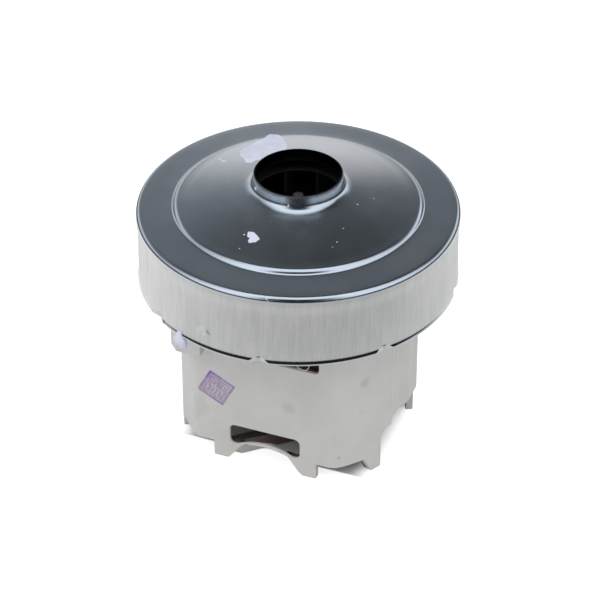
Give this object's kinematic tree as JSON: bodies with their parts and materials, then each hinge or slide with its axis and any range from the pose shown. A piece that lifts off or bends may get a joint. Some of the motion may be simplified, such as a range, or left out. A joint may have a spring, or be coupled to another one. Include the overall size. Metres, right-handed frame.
{
  "type": "vacuum motor unit",
  "caption": "Universal vacuum-cleaner motor with a crimped sheet-steel fan shroud and inlet collar on a moulded housing with flats, air slots and small feet.",
  "frame": {"origin": "centre of the base, in the plane of the feet's soles, on the shaft axis", "axes": "+Z along the shaft from the feet to the inlet collar, +X towards the right brush, -Y out of the front flat side"},
  "size_m": [0.1354, 0.1354, 0.1258],
  "materials": {
    "plated_sheet": "zinc-plated deep-drawn sheet, satin",
    "housing_moulding": "off-white thermoset moulding",
    "white_moulding": "plain white moulding",
    "bracket_sheet": "plated pressed sheet",
    "screw_steel": "plain steel",
    "shaft_steel": "ground steel",
    "bearing_steel": "ground and polished",
    "cage_brass": "pressed brass",
    "damper_rubber": "black rubber",
    "laminations": "stacked electrical sheet",
    "enamelled_wire": "varnished copper winding",
    "insulating_board": "insulating board",
    "hub_moulding": "brown phenolic moulding",
    "bar_copper": "turned copper",
    "terminal_brass": "stamped brass",
    "carbon": "graphite, dull",
    "fan_sheet": "pressed aluminium, blackened",
    "lead_sleeve": "sleeved wire"
  },
  "bodies": {
    "stationary": {"fan_shroud": "plated_sheet", "diffuser": "white_moulding", "bearing_bracket": "bracket_sheet", "bracket_screws": "screw_steel", "bearing_clip": "bracket_sheet", "clip_screws": "screw_steel", "motor_housing": "housing_moulding", "stator_core": "laminations", "stator_screws": "screw_steel", "field_coil_left": "enamelled_wire", "field_coil_right": "enamelled_wire", "upper_outer_ring": "bearing_steel", "upper_shields": "bracket_sheet", "lower_outer_ring": "bearing_steel", "lower_shields": "bracket_sheet", "bearing_damper": "damper_rubber", "brush_holder_left": "terminal_brass", "brush_holder_right": "terminal_brass", "brush_terminal_left": "terminal_brass", "brush_terminal_right": "terminal_brass", "brush_spring_left": "screw_steel", "brush_spring_right": "screw_steel", "brush_leads": "lead_sleeve", "supply_terminals": "terminal_brass", "supply_leads": "lead_sleeve"},
    "rotor": {"shaft": "shaft_steel", "armature_core": "laminations", "armature_winding": "enamelled_wire", "armature_end_discs": "insulating_board", "commutator_hub": "hub_moulding", "commutator_bars": "bar_copper", "upper_inner_ring": "bearing_steel", "lower_inner_ring": "bearing_steel", "fan_spacer": "screw_steel", "fan_hub": "fan_sheet", "impeller_back_plate": "fan_sheet", "impeller_blades": "fan_sheet", "impeller_front_plate": "fan_sheet", "fan_washer": "screw_steel", "fan_nut": "screw_steel"},
    "upper_rolling": {"upper_balls": "bearing_steel", "upper_cage": "cage_brass"},
    "lower_rolling": {"lower_balls": "bearing_steel", "lower_cage": "cage_brass"},
    "left_brush": {"carbon_brush_left": "carbon"},
    "right_brush": {"carbon_brush_right": "carbon"}
  },
  "joints": [
    {"name": "rotor_spin", "type": "hinge", "parent": "stationary", "child": "rotor", "pos_m": [0, 0, 0.05], "axis": [0, 0, 1], "continuous": true},
    {"name": "upper_rolling_spin", "type": "hinge", "parent": "stationary", "child": "upper_rolling", "pos_m": [0, 0, 0.0869], "axis": [0, 0, 1], "continuous": true},
    {"name": "lower_rolling_spin", "type": "hinge", "parent": "stationary", "child": "lower_rolling", "pos_m": [0, 0, 0.0075], "axis": [0, 0, 1], "continuous": true},
    {"name": "left_brush_slide", "type": "slide", "parent": "stationary", "child": "left_brush", "axis": [-1, 0, 0], "range_m": [0, 0.004], "stiffness_N_per_m": 300, "springref_m": -0.012, "deforming": ["brush_spring_left"]},
    {"name": "right_brush_slide", "type": "slide", "parent": "stationary", "child": "right_brush", "axis": [1, 0, 0], "range_m": [0, 0.004], "stiffness_N_per_m": 300, "springref_m": -0.012, "deforming": ["brush_spring_right"]}
  ],
  "couplings": [
    {"joint": "upper_rolling_spin", "follows": "rotor_spin", "ratio": 0.369},
    {"joint": "lower_rolling_spin", "follows": "rotor_spin", "ratio": 0.369}
  ]
}
